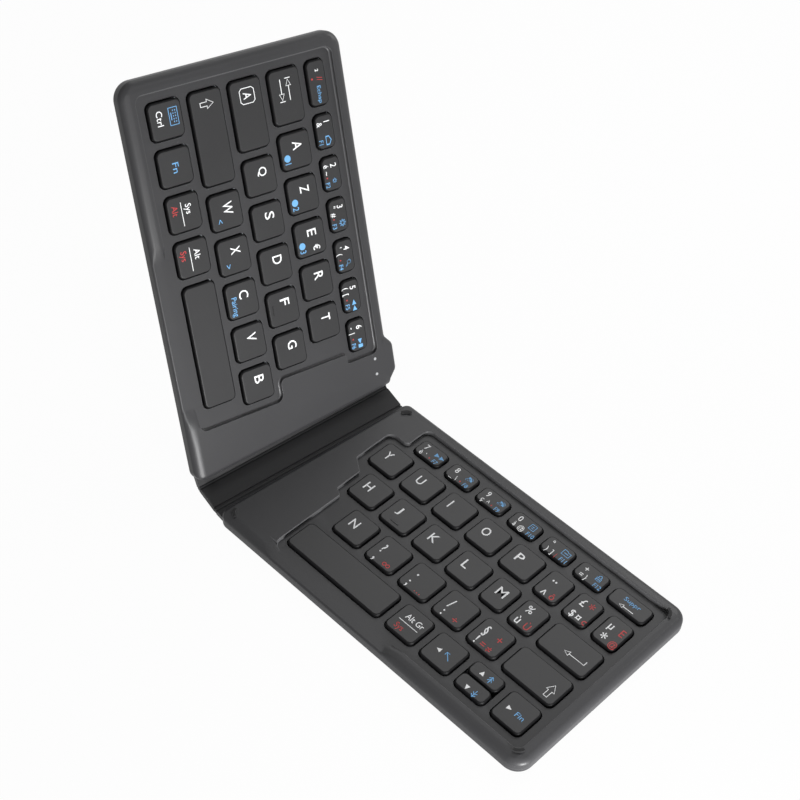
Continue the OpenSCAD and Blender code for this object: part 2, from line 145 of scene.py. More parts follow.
# How level or steep a face is, by its normal's share along the height
LEVEL = 0.99
STEEP = 0.3
STEEP_WALL = 0.2
SLANT = 0.4
CAP_LEVEL = 0.95

# Slack in height for an edge, how far over and under the bed a well's wall may end, and
# how far the recess reaches past the key field
HEIGHT_SLACK = 0.03
WALL_OVER = 0.05
WALL_UNDER = 0.3
RECESS_MARGIN = 4

# Edges sharper than these angles, in degrees, stay sharp
SMOOTH_ANGLE = 35
CASE_ANGLE = 40
BAND_ANGLE = 80

# Distance in metres and angle under which a CAD node's loose triangles are joined
WELD = 0.000002
FLAT_ANGLE = math.radians(0.5)

# How near to a cut a corner counts as lying on it
CUT_SLACK = 0.00001

# Height of the moulded grain in metres, how strongly its tone and the lighter edges
# show, and how much lighter an edge is, partly rubbed and partly a painted highlight
GRAIN_RELIEF = 0.00004
TONE_GAIN = 4.0
WEAR_HIGHLIGHT_GAIN = 4.0
WORN_HIGHLIGHT_TONE = 3

RIGHT_AXIS = Vector(JOINTS["spine_fold"]["pos_m"])
LEFT_AXIS = Vector(JOINTS["left_fold"]["pos_m"])
LEFT_PRESS = Vector(JOINTS["tab_press"]["axis"])
LEFT_TILT = math.atan2(-LEFT_PRESS.x, -LEFT_PRESS.z)
LEFT_KEYS = {
    joint["child"] for joint in JOINTS.values() if joint["parent"] == "left_half"
}

# From each half's plan in millimetres to the object's frame. x runs in the reading
# direction, with 0 at the outer edge, so that the right half lies at negative x; y runs
# to the rear and z up from the underside.
SCALE = Matrix.Scale(MM, 4)
PLAN = {
    "right": Matrix.Translation(RIGHT_AXIS)
    @ SCALE
    @ Matrix.Translation((FOLD_EDGE, -CENTRE_Y, -AXIS_Z))
    @ Matrix.Rotation(CHEVRON, 4, "Z"),
    "left": Matrix.Translation(LEFT_AXIS)
    @ SCALE
    @ Matrix.Rotation(LEFT_TILT, 4, "Y")
    @ Matrix.Translation((-FOLD_EDGE, -CENTRE_Y, -AXIS_Z))
    @ Matrix.Rotation(-CHEVRON, 4, "Z"),
}


# ---- Shader node groups ----


def group(name, inputs, outputs):
    """A shader node group with named inputs and outputs, and its two end nodes."""
    tree = bpy.data.node_groups.new(name, "ShaderNodeTree")
    for label, kind, default in inputs:
        socket = tree.interface.new_socket(label, in_out="INPUT", socket_type=kind)
        if default is not None:
            socket.default_value = default
    for label, kind in outputs:
        tree.interface.new_socket(label, in_out="OUTPUT", socket_type=kind)
    return tree, tree.nodes.new("NodeGroupInput"), tree.nodes.new("NodeGroupOutput")


def node(tree, kind, links=(), **settings):
    """A node with its settings, its inputs set or linked by name or number."""
    made = tree.nodes.new(kind)
    for key, value in settings.items():
        setattr(made, key, value)
    for key, value in dict(links).items():
        if isinstance(value, bpy.types.NodeSocket):
            tree.links.new(value, made.inputs[key])
        else:
            made.inputs[key].default_value = value
    return made


def maths(tree, operation, first, second=0.0, clamp=False):
    """The output of a maths node on two values or sockets."""
    return node(
        tree,
        "ShaderNodeMath",
        {0: first, 1: second},
        operation=operation,
        use_clamp=clamp,
    ).outputs[0]


def moulded_grain():
    """Fine spark-eroded grain, with a slow change of tone over the moulding."""
    tree, start, end = group(
        "Moulded grain",
        [
            ("Colour", "NodeSocketColor", (0.1, 0.1, 0.1, 1)),
            ("Grain Scale", "NodeSocketFloat", 3.0),
            ("Grain Depth", "NodeSocketFloat", 0.3),
            ("Tone", "NodeSocketFloat", 0.06),
            ("Roughness", "NodeSocketFloat", 0.5),
        ],
        [
            ("Colour", "NodeSocketColor"),
            ("Roughness", "NodeSocketFloat"),
            ("Normal", "NodeSocketVector"),
        ],
    )
    where = node(tree, "ShaderNodeTexCoord").outputs["Object"]
    place = node(
        tree, "ShaderNodeMapping", {"Vector": where, "Scale": (1 / MM, 1 / MM, 1 / MM)}
    )
    fine = node(
        tree,
        "ShaderNodeTexNoise",
        {
            "Vector": place.outputs[0],
            "Scale": start.outputs["Grain Scale"],
            "Detail": 2.0,
            "Roughness": 0.6,
        },
    ).outputs["Fac"]
    broad = node(
        tree,
        "ShaderNodeTexNoise",
        {"Vector": place.outputs[0], "Scale": 0.03, "Detail": 3.0},
    ).outputs["Fac"]
    shift = maths(
        tree,
        "MULTIPLY",
        maths(
            tree,
            "ADD",
            maths(tree, "SUBTRACT", broad, 0.5),
            maths(tree, "MULTIPLY", maths(tree, "SUBTRACT", fine, 0.5), 0.5),
        ),
        start.outputs["Tone"],
    )
    tone = node(
        tree,
        "ShaderNodeHueSaturation",
        {
            "Color": start.outputs["Colour"],
            "Value": maths(
                tree, "ADD", 1.0, maths(tree, "MULTIPLY", shift, TONE_GAIN)
            ),
        },
    )
    bump = node(
        tree,
        "ShaderNodeBump",
        {
            "Height": fine,
            "Strength": start.outputs["Grain Depth"],
            "Distance": GRAIN_RELIEF,
        },
    )
    tree.links.new(tone.outputs["Color"], end.inputs["Colour"])
    tree.links.new(
        maths(tree, "ADD", start.outputs["Roughness"], shift, clamp=True),
        end.inputs["Roughness"],
    )
    tree.links.new(bump.outputs["Normal"], end.inputs["Normal"])
    return tree


def edge_sheen():
    """Mask of the edges that are made lighter, partly as rubbing and partly as a
    painted highlight: 1 on an edge, 0 elsewhere.
    """
    tree, start, end = group(
        "Edge sheen",
        [
            ("Radius", "NodeSocketFloat", 0.0004),
            ("Amount", "NodeSocketFloat", 1.0),
        ],
        [("Mask", "NodeSocketFloat")],
    )
    rounded = node(
        tree, "ShaderNodeBevel", {"Radius": start.outputs["Radius"]}, samples=4
    )
    plain = node(tree, "ShaderNodeNewGeometry")
    alike = node(
        tree,
        "ShaderNodeVectorMath",
        {0: rounded.outputs[0], 1: plain.outputs["Normal"]},
        operation="DOT_PRODUCT",
    ).outputs["Value"]
    mask = maths(
        tree,
        "MULTIPLY",
        maths(tree, "SUBTRACT", 1.0, alike, clamp=True),
        maths(tree, "MULTIPLY", start.outputs["Amount"], WEAR_HIGHLIGHT_GAIN),
        clamp=True,
    )
    tree.links.new(mask, end.inputs["Mask"])
    return tree


# Node groups and materials made so far, by name
GROUPS = {}
FINISHES = {}


def shared(maker):
    """A node group made once, however many materials use it."""
    if maker.__name__ not in GROUPS:
        GROUPS[maker.__name__] = maker()
    return GROUPS[maker.__name__]


def finish(
    name,
    colour,
    roughness,
    grain=(3.0, 0.3),
    tone=0.06,
    metallic=0.0,
    specular=0.27,
    sheen=0.0,
    wear_and_sheen=0.0,
):
    """A material with moulded grain and lighter edges, rubbed and with a painted
    highlight, made once by name.

    The grain is its scale and its depth."""
    if name in FINISHES:
        return FINISHES[name]
    material = bpy.data.materials.new(name)
    material.use_nodes = True
    tree = material.node_tree
    shader = tree.nodes["Principled BSDF"]
    shader.inputs["Metallic"].default_value = metallic
    shader.inputs["Specular IOR Level"].default_value = specular
    shader.inputs["Sheen Weight"].default_value = sheen
    skin = node(
        tree,
        "ShaderNodeGroup",
        {
            "Colour": (*colour, 1),
            "Grain Scale": grain[0],
            "Grain Depth": grain[1],
            "Tone": tone,
            "Roughness": roughness,
        },
        node_tree=shared(moulded_grain),
    )
    worn_and_lit = node(
        tree, "ShaderNodeGroup", {"Amount": wear_and_sheen}, node_tree=shared(edge_sheen)
    )
    lighter = node(
        tree,
        "ShaderNodeMix",
        {"Factor": worn_and_lit.outputs["Mask"]},
        data_type="RGBA",
    )
    tree.links.new(skin.outputs["Colour"], lighter.inputs["A"])
    # The edges' colour, lighter for rubbing and as a painted highlight
    worn_highlight = (min(1, WORN_HIGHLIGHT_TONE * c) for c in colour)
    lighter.inputs["B"].default_value = (*worn_highlight, 1)
    tree.links.new(lighter.outputs["Result"], shader.inputs["Base Color"])
    tree.links.new(skin.outputs["Roughness"], shader.inputs["Roughness"])
    tree.links.new(skin.outputs["Normal"], shader.inputs["Normal"])
    FINISHES[name] = material
    return material


# ---- Pieces ----


def put(name, mesh, materials, body=None, slot=None):
    """An object in the scene for a finished mesh, riding on its body.

    A piece with a body and a slot name is shaded by its large faces; the slot name is
    read for nothing else."""
    piece = bpy.data.objects.new(name, mesh)
    bpy.context.scene.collection.objects.link(piece)
    for material in materials:
        mesh.materials.append(material)
    if body and slot:
        flatten = piece.modifiers.new("Flat faces", "WEIGHTED_NORMAL")
        flatten.mode = "FACE_AREA"
        flatten.weight = 100
        flatten.keep_sharp = True
    if body:
        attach(piece, body)
    return piece


def merged_copy(node_name):
    """A bmesh copy of a CAD node with its loose triangles joined into clean faces."""
    bm = bmesh.new()
    bm.from_mesh(frame["nodes"][node_name].data)
    bmesh.ops.remove_doubles(bm, verts=bm.verts, dist=WELD)
    bmesh.ops.dissolve_limit(
        bm, angle_limit=FLAT_ANGLE, verts=bm.verts, edges=bm.edges
    )
    return bm


def upward(side):
    """The way a half's keys look, in the object's frame."""
    return PLAN[side].to_3x3().col[2].normalized()


def plan_copy(node_name, side):
    """A clean copy of a CAD node, laid in its half's plan."""
    bm = merged_copy(node_name)
    bm.transform(PLAN[side].inverted())
    return bm


def smooth_mesh(bm, name, angle=SMOOTH_ANGLE):
    """The bmesh as a mesh, smooth but for edges sharper than the angle in degrees."""
    mesh = bpy.data.meshes.new(name)
    for face in bm.faces:
        face.smooth = True
    bm.to_mesh(mesh)
    bm.free()
    mesh.set_sharp_from_angle(angle=math.radians(angle))
    return mesh


def dress(node_name, materials, slot, angle=SMOOTH_ANGLE, painted_shade_faces=None):
    """A smooth-shaded copy of a CAD node that stands for it.

    The faces that painted_shade_faces picks take the second material, a painted shade."""
    bm = merged_copy(node_name)
    if painted_shade_faces:
        bm.normal_update()
        for face in bm.faces:
            face.material_index = 1 if painted_shade_faces(face) else 0
    mesh = smooth_mesh(bm, node_name + "_skin", angle)
    piece = put(node_name + "_skin", mesh, materials, BODY_OF[node_name], slot)
    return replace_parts(piece, node_name)


def paint(node_name, material):
    """Gives a CAD node that stays its material."""
    mesh = frame["nodes"][node_name].data
    mesh.materials.clear()
    mesh.materials.append(material)


# ---- Values that a user would change ----


def colour_property(name, description, default):
    """A colour that a user can change."""
    return FloatVectorProperty(
        name=name,
        description=description,
        default=default,
        subtype="COLOR",
        min=0,
        max=1,
        size=3,
    )


class KeyboardColours(PropertyGroup):
    """Colours of the keyboard's finishes."""

    case: colour_property("Case", "Moulded case halves", (0.036, 0.036, 0.038))
    cap: colour_property("Key caps", "Moulded key caps", (0.027, 0.027, 0.028))
    band: colour_property("Band", "Flexible band over the fold", (0.016, 0.016, 0.017))
    rubber: colour_property("Rubber", "Grips and bumpers", (0.004, 0.004, 0.0045))
    white_print: colour_property("White print", "Main legends", (0.95, 0.96, 0.97))
    blue_print: colour_property("Blue print", "Function legends", (0.17, 0.42, 0.74))
    red_print: colour_property("Red print", "Second legends", (0.50, 0.05, 0.05))


class KeyboardSizes(PropertyGroup):
    """Sizes that the dressing adds to the frame."""

    deck_edge: FloatProperty(
        name="Recess top edge",
        description="Rounding of the deck's edge round the key recess",
        default=0.0008,
        min=0.0002,
        max=0.0009,
        unit="LENGTH",
    )
    bed_edge: FloatProperty(
        name="Recess foot",
        description="Fillet between the recess's wall and its bed",
        default=0.0006,
        min=0.0001,
        max=0.0006,
        unit="LENGTH",
    )
    well_edge: FloatProperty(
        name="Well edge",
        description="Rounding of the edges of the key wells",
        default=0.00012,
        min=0.00005,
        max=0.0002,
        unit="LENGTH",
    )
    print_rise: FloatProperty(
        name="Print rise",
        description="How far the printed legends stand over the caps",
        default=0.00003,
        min=0.00001,
        max=0.0001,
        unit="LENGTH",
    )


# ---- Cases ----


def soften_edges(bm, edges, width, segments):
    """Rounds the edges and gives the new faces."""
    if not edges:
        raise RuntimeError("there is no edge to round")
    return bmesh.ops.bevel(
        bm,
        geom=edges,
        offset=width,
        offset_type="OFFSET",
        segments=segments,
        profile=0.5,
        affect="EDGES",
        material=-1,
        clamp_overlap=True,
    )["faces"]


def creased(bm, height, convex):
    """Edges at a height in a half's plan where a level face meets a steep one."""
    found = []
    for edge in bm.edges:
        if len(edge.link_faces) != 2 or edge.is_convex != convex:
            continue
        if any(abs(v.co.z - height) > HEIGHT_SLACK for v in edge.verts):
            continue
        levels = sorted(abs(f.normal.z) for f in edge.link_faces)
        if levels[1] > LEVEL and levels[0] < STEEP_WALL:
            found.append(edge)
    return found


def swelling(across, side):
    """Share of the rear swelling's full depth at a place along the left half."""
    if side == "right" or not SWELL[0] < across < SWELL[3]:
        return 0
    return min(
        1,
        (across - SWELL[0]) / (SWELL[1] - SWELL[0]),
        (SWELL[3] - across) / (SWELL[3] - SWELL[2]),
    )


def rim_drop(across, depth, side):
    """How far the rolled rim lies below the deck at a place in a half's plan."""
    outer = abs(across)
    swell = swelling(across, side) if depth > HALF_DEPTH / 2 else 0
    calm = 1 - SWELL_CALM * swell
    front = min(depth, HALF_DEPTH + SWELL_DEPTH * swell - depth)
    inside = min(outer, front)
    if outer < CORNER_R and front < CORNER_R:
        inside = CORNER_R - math.hypot(CORNER_R - outer, CORNER_R - front)
    if side == "left":
        edge = HALF_WIDTH + (HALF_DEPTH / 2 - depth) * math.tan(CHEVRON)
        inside = min(inside, edge - outer + ROLL_SHIFT)
    level = min(max(inside / (ROLL_WIDTH * calm), 0), 1)
    return ROLL_DEPTH * calm * (1 - math.sqrt(max(0, 1 - (1 - level) ** 2)))


def cut_top(bm, place, normal):
    """Cuts the faces near the deck along a plane."""
    top = [f for f in bm.faces if min(v.co.z for v in f.verts) > ROLL_FOOT]
    # Dicts, since sets would change the order of the new faces from run to run
    edges = dict.fromkeys(e for f in top for e in f.edges)
    verts = dict.fromkeys(v for f in top for v in f.verts)
    bmesh.ops.bisect_plane(
        bm,
        geom=[*verts, *edges, *top],
        dist=CUT_SLACK,
        plane_co=place,
        plane_no=normal,
    )


def roll_rim(bm, side):
    """Turns the narrow rounding of a half's outer edges into a broad soft roll."""
    sign = 1 if side == "left" else -1
    for reach in ROLL_CUTS:
        cut_top(bm, (sign * reach, 0, 0), (1, 0, 0))
        cut_top(bm, (0, reach, 0), (0, 1, 0))
        cut_top(bm, (0, HALF_DEPTH - reach, 0), (0, 1, 0))
    if side == "left":
        for across in SWELL:
            cut_top(bm, (across, 0, 0), (1, 0, 0))
    for vert in bm.verts:
        if vert.co.z > ROLL_FOOT:
            rolled = HALF_THICK - rim_drop(vert.co.x, vert.co.y, side)
            vert.co.z = min(vert.co.z, rolled)


def paint_edge_highlight(bm, rounded):
    """Gives the slanting faces of a rounded recess edge the painted highlight."""
    bm.normal_update()
    for face in rounded:
        if SLANT < abs(face.normal.z) < LEVEL:
            face.material_index = 1


def wall_kind(face):
    """Material of a face: 1, a painted highlight, on a wall of the recess; 2, painted
    shade, on a wall of a well; else its own.
    """
    centre = face.calc_center_median()
    inside = min(abs(centre.x), centre.y, HALF_DEPTH - centre.y)
    if abs(face.normal.z) > STEEP or inside <= FIELD - RECESS_MARGIN:
        return face.material_index
    heights = [v.co.z for v in face.verts]
    if BED - WALL_UNDER < max(heights) < BED + WALL_OVER:
        return 2
    if min(heights) > BED:
        return 1
    return face.material_index


class KEYBOARD_OT_cases(Operator):
    """Rounds the recess, the wells and the rims of the two upper cases"""

    bl_idname = "keyboard.cases"
    bl_label = "Upper cases"

    def execute(self, context):
        sizes, colours = context.scene.keyboard_sizes, context.scene.keyboard_colours
        # The case's edges are made lighter, partly as rubbing and partly as a painted
        # highlight
        shell = finish(
            "Moulded case",
            colours.case,
            roughness=0.42,
            grain=(1.8, 0.5),
            tone=0.06,
            wear_and_sheen=0.35,
        )
        # Painted highlight on the recess's rounded edges and on its walls
        edge = finish(
            "Recess edge", PAINTED_HIGHLIGHT_TONE, roughness=0.3, grain=(2.6, 0.1), tone=0.03
        )
        # Painted shade on the walls of the key wells
        wall = finish(
            "Recess wall",
            PAINTED_SHADE_TONE,
            roughness=0.5,
            grain=(2.6, 0.2),
            tone=0.03,
            specular=0.2,
        )
        for side in ("right", "left"):
            name = side + "_top_case"
            bm = plan_copy(name, side)
            bm.normal_update()
            rounded = soften_edges(
                bm, creased(bm, HALF_THICK, True), sizes.deck_edge / MM, 4
            )
            paint_edge_highlight(bm, rounded)
            soften_edges(bm, creased(bm, BED, True), sizes.well_edge / MM, 2)
            bm.normal_update()
            rounded = soften_edges(bm, creased(bm, BED, False), sizes.bed_edge / MM, 3)
            paint_edge_highlight(bm, rounded)
            for face in bm.faces:
                face.material_index = wall_kind(face)
            roll_rim(bm, side)
            bm.transform(PLAN[side])
            mesh = smooth_mesh(bm, name + "_skin", CASE_ANGLE)
            materials = (shell, edge, wall)
            piece = put(name + "_skin", mesh, materials, BODY_OF[name], "case")
            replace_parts(piece, name)
        for name in ("right_bottom_cover", "left_bottom_cover"):
            dress(name, (shell,), "case")
        return {"FINISHED"}


# ---- Caps ----


class KEYBOARD_OT_caps(Operator):
    """Gives every key cap its smooth satin finish, with painted shade on its sides"""

    bl_idname = "keyboard.caps"
    bl_label = "Key caps"

    def execute(self, context):
        satin = finish(
            "Moulded caps",
            context.scene.keyboard_colours.cap,
            roughness=0.40,
            grain=(1.9, 0.5),
            tone=0.07,
        )
        # Painted shade on the caps' sides
        painted_side_shade = finish(
            "Cap sides",
            PAINTED_SHADE_TONE,
            roughness=0.5,
            grain=(3.5, 0.15),
            tone=0.03,
            specular=0.12,
        )
        for name in frame["nodes"]:
            if name.endswith(("_caps", "_key")):
                up = upward("left" if BODY_OF[name] in LEFT_KEYS else "right")
                dress(
                    name,
                    (satin, painted_side_shade),
                    "caps",
                    painted_shade_faces=lambda face: abs(face.normal.dot(up)) < CAP_LEVEL,
                )
        return {"FINISHED"}


# ---- Fold ----


class KEYBOARD_OT_fold(Operator):
    """Finishes the flexible band and the core under it"""

    bl_idname = "keyboard.fold"
    bl_label = "Fold band"

    def execute(self, context):
        soft = finish(
            "Soft band",
            context.scene.keyboard_colours.band,
            roughness=0.62,
            grain=(2.0, 0.5),
            tone=0.05,
            sheen=0.08,
        )
        for name, slot in (
            ("right_fold_lip", "band"),
            ("left_fold_lip", "band"),
            ("spine_band", "band"),
            ("spine_core", "core"),
        ):
            dress(name, (soft,), slot, angle=BAND_ANGLE)
        return {"FINISHED"}


# ---- Rubber, fittings and insides ----


class KEYBOARD_OT_rubber(Operator):
    """Finishes the grips underneath and the crescent bumpers"""

    bl_idname = "keyboard.rubber"
    bl_label = "Rubber"

    def execute(self, context):
        rubber = finish(
            "Black rubber",
            context.scene.keyboard_colours.rubber,
            roughness=0.7,
            grain=(1.5, 0.6),
            tone=0.05,
            sheen=0.1,
        )
        for name in ("right_grips", "left_grips", "right_bumpers"):
            dress(name, (rubber,), "black_rubber")
        return {"FINISHED"}


def islands(bm):
    """Groups of faces that hang together, in the order of their first faces."""
    reached, groups = set(), []
    for first in bm.faces:
        if first in reached:
            continue
        reached.add(first)
        stack, together = [first], []
        while stack:
            face = stack.pop()
            together.append(face)
            for edge in face.edges:
                for other in edge.link_faces:
                    if other not in reached:
                        reached.add(other)
                        stack.append(other)
        groups.append(together)
    return groups


def plan_box(faces):
    """Lower and upper corner of some faces."""
    points = [v.co for face in faces for v in face.verts]
    return (
        Vector(min(p[i] for p in points) for i in range(3)),
        Vector(max(p[i] for p in points) for i in range(3)),
    )


def cap_places(side):
    """Plan boxes of one half's caps, each with the joint that moves it."""
    places = []
    for joint in JOINTS.values():
        if joint["parent"] != side + "_half" or joint["child"] not in frame["nodes"]:
            continue
        bm = plan_copy(joint["child"], side)
        places += [(*plan_box(faces), joint) for faces in islands(bm)]
        bm.free()
    return places


def split_by_key(node_name, side, material):
    """Makes each key's domes or links a piece of its own, named after the key."""
    places = cap_places(side)
    whole = plan_copy(node_name, side)
    owners = {}
    for faces in islands(whole):
        low, high = plan_box(faces)
        middle = (low + high) / 2
        over = [
            joint
            for start, end, joint in places
            if start.x < middle.x < end.x and start.y < middle.y < end.y
        ]
        if len(over) != 1:
            raise RuntimeError(f"{node_name} has a part under {len(over)} caps")
        indices = {face.index for face in faces}
        owners.setdefault(over[0]["name"], set()).update(indices)
    for joint_name, indices in owners.items():
        joint = JOINTS[joint_name]
        bm = whole.copy()
        others = [face for face in bm.faces if face.index not in indices]
        bmesh.ops.delete(bm, geom=others, context="FACES")
        bm.transform(PLAN[side])
        name = f"{joint['child']}_{node_name.split('_')[1]}"
        piece = put(name, smooth_mesh(bm, name), (material,), joint["parent"])
        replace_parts(piece, node_name)
        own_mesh(piece)
    whole.free()


# Finishes of the fittings: name, colour, roughness, grain, tone, metallic
FITTINGS = (
    ("Stamped steel", (0.55, 0.56, 0.58), 0.35, (1.0, 0.1), 0.08, 1.0),
    ("Light guide", (0.4, 0.41, 0.42), 0.3, (1.0, 0.05), 0.02, 0.0),
    ("Battery pouch", (0.35, 0.36, 0.38), 0.4, (0.4, 0.4), 0.1, 0.8),
    ("Circuit board", (0.012, 0.07, 0.04), 0.45, (0.8, 0.2), 0.2, 0.0),
    ("Dome rubber", (0.5, 0.5, 0.48), 0.6, (1.0, 0.2), 0.05, 0.0),
    ("Link plastic", (0.6, 0.6, 0.58), 0.45, (1.0, 0.1), 0.03, 0.0),
    ("Contact film", (0.45, 0.47, 0.5), 0.3, (0.2, 0.2), 0.1, 0.0),
)


class KEYBOARD_OT_fittings(Operator):
    """Finishes the charging port, the lights and the parts inside"""

    bl_idname = "keyboard.fittings"
    bl_label = "Fittings and insides"

    def execute(self, context):
        made = {
            name: finish(name, colour, roughness, grain, tone, metallic)
            for name, colour, roughness, grain, tone, metallic in FITTINGS
        }
        dress("charge_port", (made["Stamped steel"],), "port_metal")
        dress("status_lights", (made["Light guide"],), "light_guide")
        paint("battery", made["Battery pouch"])
        paint("controller_board", made["Circuit board"])
        for side in ("right", "left"):
            paint(side + "_plate", made["Stamped steel"])
            paint(side + "_membrane", made["Contact film"])
            split_by_key(side + "_domes", side, made["Dome rubber"])
            split_by_key(side + "_scissors", side, made["Link plastic"])
        return {"FINISHED"}


# ---- Legends ----

# Inks and how far each swells the letters, a capital's share of the type size, how
# narrow words are set, the strokes of signs, how deep prints reach into a cap and how
# close their points may lie
WHITE, BLUE, RED = "white", "blue", "red"
INK_SPREAD = {WHITE: 0.004, BLUE: 0.0, RED: 0.0}
CAPITAL = 0.682
CONDENSED = 0.88
STROKE = 0.3
SINK = 0.01
PRINT_WELD = 0.0005


def row_rear(row):
    """Rear edge of a row's caps in a half's plan."""
    depth = NUMBER_DEPTH if row == NUMBER_ROW else ROW_DEPTH
    return FIELD_FRONT + row * ROW_PITCH + depth - KEY_GAP


def wells(first, count, pitch):
    """Outer and fold-side edges of a row of wells, counted from the outer edge."""
    return [(first + k * pitch, first + (k + 1) * pitch - WEB) for k in range(count)]


def cap_corner(side, well, row):
    """Left rear corner of a cap in its half's plan, as one reads it."""
    outer, inner = well
    left = outer + KEY_GAP if side == "left" else -(inner - KEY_GAP)
    return left, row_rear(row)


def end_well(width):
    """The well of a key at the outer end of its row."""
    return FIELD, FIELD + width - WEB


MODIFIERS = wells(FIELD, 4, MODIFIER_PITCH)
NUMBERS = wells(FIELD + ESCAPE_WIDTH, 6, NUMBER_PITCH)
LEFT_UPPER = wells(FIELD + TAB_WIDTH, 5, KEY_PITCH)
LEFT_HOME = wells(FIELD + LOCK_WIDTH, 5, KEY_PITCH)
LEFT_LOWER = wells(FIELD + LEFT_SHIFT_WIDTH, 5, KEY_PITCH)
RIGHT_NARROW = wells(FIELD, 3, NARROW_PITCH)
RIGHT_UPPER = wells(FIELD + 3 * NARROW_PITCH, 5, KEY_PITCH)
RIGHT_NARROW_HOME = wells(FIELD + ENTER_WIDTH, 2, NARROW_PITCH)
RIGHT_HOME = wells(FIELD + ENTER_WIDTH + 2 * NARROW_PITCH, 4, KEY_PITCH)
RIGHT_LOWER = wells(FIELD + RIGHT_SHIFT_WIDTH, 5, KEY_PITCH)

# Printed capitals: their height and widths, and where they stand on a cap
LETTER_HEIGHT = 3.85
LETTER_WIDTHS = {
    **dict(zip("AZERT", (3.1, 2.6, 2.5, 2.9, 2.7))),
    **dict(zip("QSDFG", (3.3, 2.7, 3.2, 2.6, 3.1))),
    **dict(zip("WXCVB", (4.5, 2.7, 3.0, 3.0, 3.0))),
    **dict(zip("YUIOP", (2.7, 3.0, 0.5, 3.3, 2.9))),
    **dict(zip("HJKLMN", (3.1, 1.7, 3.3, 2.4, 3.8, 3.2))),
}
LETTER_PLACE = (3.4, 7.7)
DOT = ("●", BLUE, 7.5, 11.9, 2.6, 2.6)


def letter(sign):
    """The mark of a letter key."""
    return [(sign, WHITE, *LETTER_PLACE, LETTER_HEIGHT, LETTER_WIDTHS[sign])]


def number(digit, sign, second, third, label, icon, icon_height, icon_width):
    """Marks of a number key: digit and signs at the left, function at the right."""
    marks = [
        (digit, WHITE, 2.6, 4.2, 2.5),
        (sign, WHITE, 2.6, 7.2, 2.2),
        (label, BLUE, 9.2, 7.3, 1.8),
        (icon, BLUE, 8.0, 4.3, icon_height, icon_width),
    ]
    if second:
        marks.append((second, WHITE, 5.0, 7.2, 2.1))
    if third:
        marks.append((third, RED, 7.2, 7.2, 1.8))
    return marks


def stacked(first, second):
    """A white word over a line, a red word under it."""
    return [
        (first, WHITE, 3.6, 5.9, 2.3),
        ("―", WHITE, 2.5, 7.6, 0.25, 8.6),
        (second, RED, 3.2, 11.2, 2.3),
    ]


# Half, body, well, row, marks. A mark is its words or the name of its sign, its ink,
# its place from the cap's left edge, its baseline from the rear edge, its height and,
# where it is set, its width.
KEYS = []


def key(side, body, well, row, marks):
    """Adds a key to those that are printed."""
    KEYS.append((side, body, well, row, marks))


for at, sign in zip(LEFT_UPPER, "AZERT"):
    extra = {
        "A": [DOT, ("1", BLUE, 10.6, 11.8, 2.5)],
        "Z": [DOT, ("2", BLUE, 10.4, 11.8, 2.5)],
        "E": [DOT, ("3", BLUE, 10.4, 11.8, 2.5), ("€", WHITE, 9.5, 6.0, 2.7)],
    }.get(sign, [])
    key("left", "left_upper_caps", at, UPPER_ROW, letter(sign) + extra)
for at, sign in zip(LEFT_HOME, "QSDFG"):
    key("left", "left_home_caps", at, HOME_ROW, letter(sign))
for at, sign in zip(LEFT_LOWER, "WXCVB"):
    extra = {
        "W": [("<", BLUE, 9.0, 10.8, 2.4)],
        "X": [(">", BLUE, 9.2, 10.8, 2.4)],
        "C": [("Pairing", BLUE, 5.0, 11.0, 2.1)],
    }.get(sign, [])
    key("left", "left_lower_caps", at, LOWER_ROW, letter(sign) + extra)
for at, marks in zip(
    NUMBERS,
    [
        number("1", "&", "", "", "F1", "⌂", 2.4, 3.4),
        number("2", "é", "~", "•", "F2", "☼", 2.0, 2.0),
        number("3", '"', "#", "•", "F3", "☼", 3.0, 3.0),
        number("4", "'", "(", "•", "F4", "🔍", 2.4, 2.4),
        number("5", "(", "[", "•", "F5", "◀◀", 1.9, 4.2),
        number("6", "-", "|", "•", "F6", "▶▌", 1.9, 3.4),
    ],
):
    key("left", "left_number_caps", at, NUMBER_ROW, marks)
key(
    "left",
    "escape_key",
    end_well(ESCAPE_WIDTH),
    NUMBER_ROW,
    [
        ("²", WHITE, 3.3, 5.6, 2.6),
        ("//", RED, 6.1, 4.0, 2.2),
        ("•", RED, 6.2, 7.2, 2.2),
        ("Echap", BLUE, 9.3, 5.0, 2.0, 6.2),
    ],
)
key(
    "left",
    "tab_key",
    end_well(TAB_WIDTH),
    UPPER_ROW,
    [
        ("tab_left", WHITE, 3.5, 6.4, 2.2, 8.0),
        ("tab_right", WHITE, 3.5, 9.6, 2.2, 8.0),
    ],
)
key(
    "left",
    "caps_lock_key",
    end_well(LOCK_WIDTH),
    HOME_ROW,
    [("lock_frame", WHITE, 3.1, 9.2, 5.8, 5.5), ("A", WHITE, 4.65, 7.9, 3.2, 2.4)],
)
key(
    "left",
    "left_shift_key",
    end_well(LEFT_SHIFT_WIDTH),
    LOWER_ROW,
    [("shift", WHITE, 3.2, 9.0, 5.2, 3.3)],
)
for at, body, marks in zip(
    MODIFIERS,
    ("ctrl_key", "fn_key", "system_key", "alt_key"),
    (
        [("keyboard", BLUE, 2.8, 5.3, 3.3, 6.0), ("Ctrl", WHITE, 3.0, 10.2, 2.4, 5.2)],
        [("Fn", BLUE, 5.0, 7.7, 2.4, 3.6)],
        stacked("Sys", "Alt"),
        stacked("Alt", "Sys"),
    ),
):
    key("left", body, at, FRONT_ROW, marks)

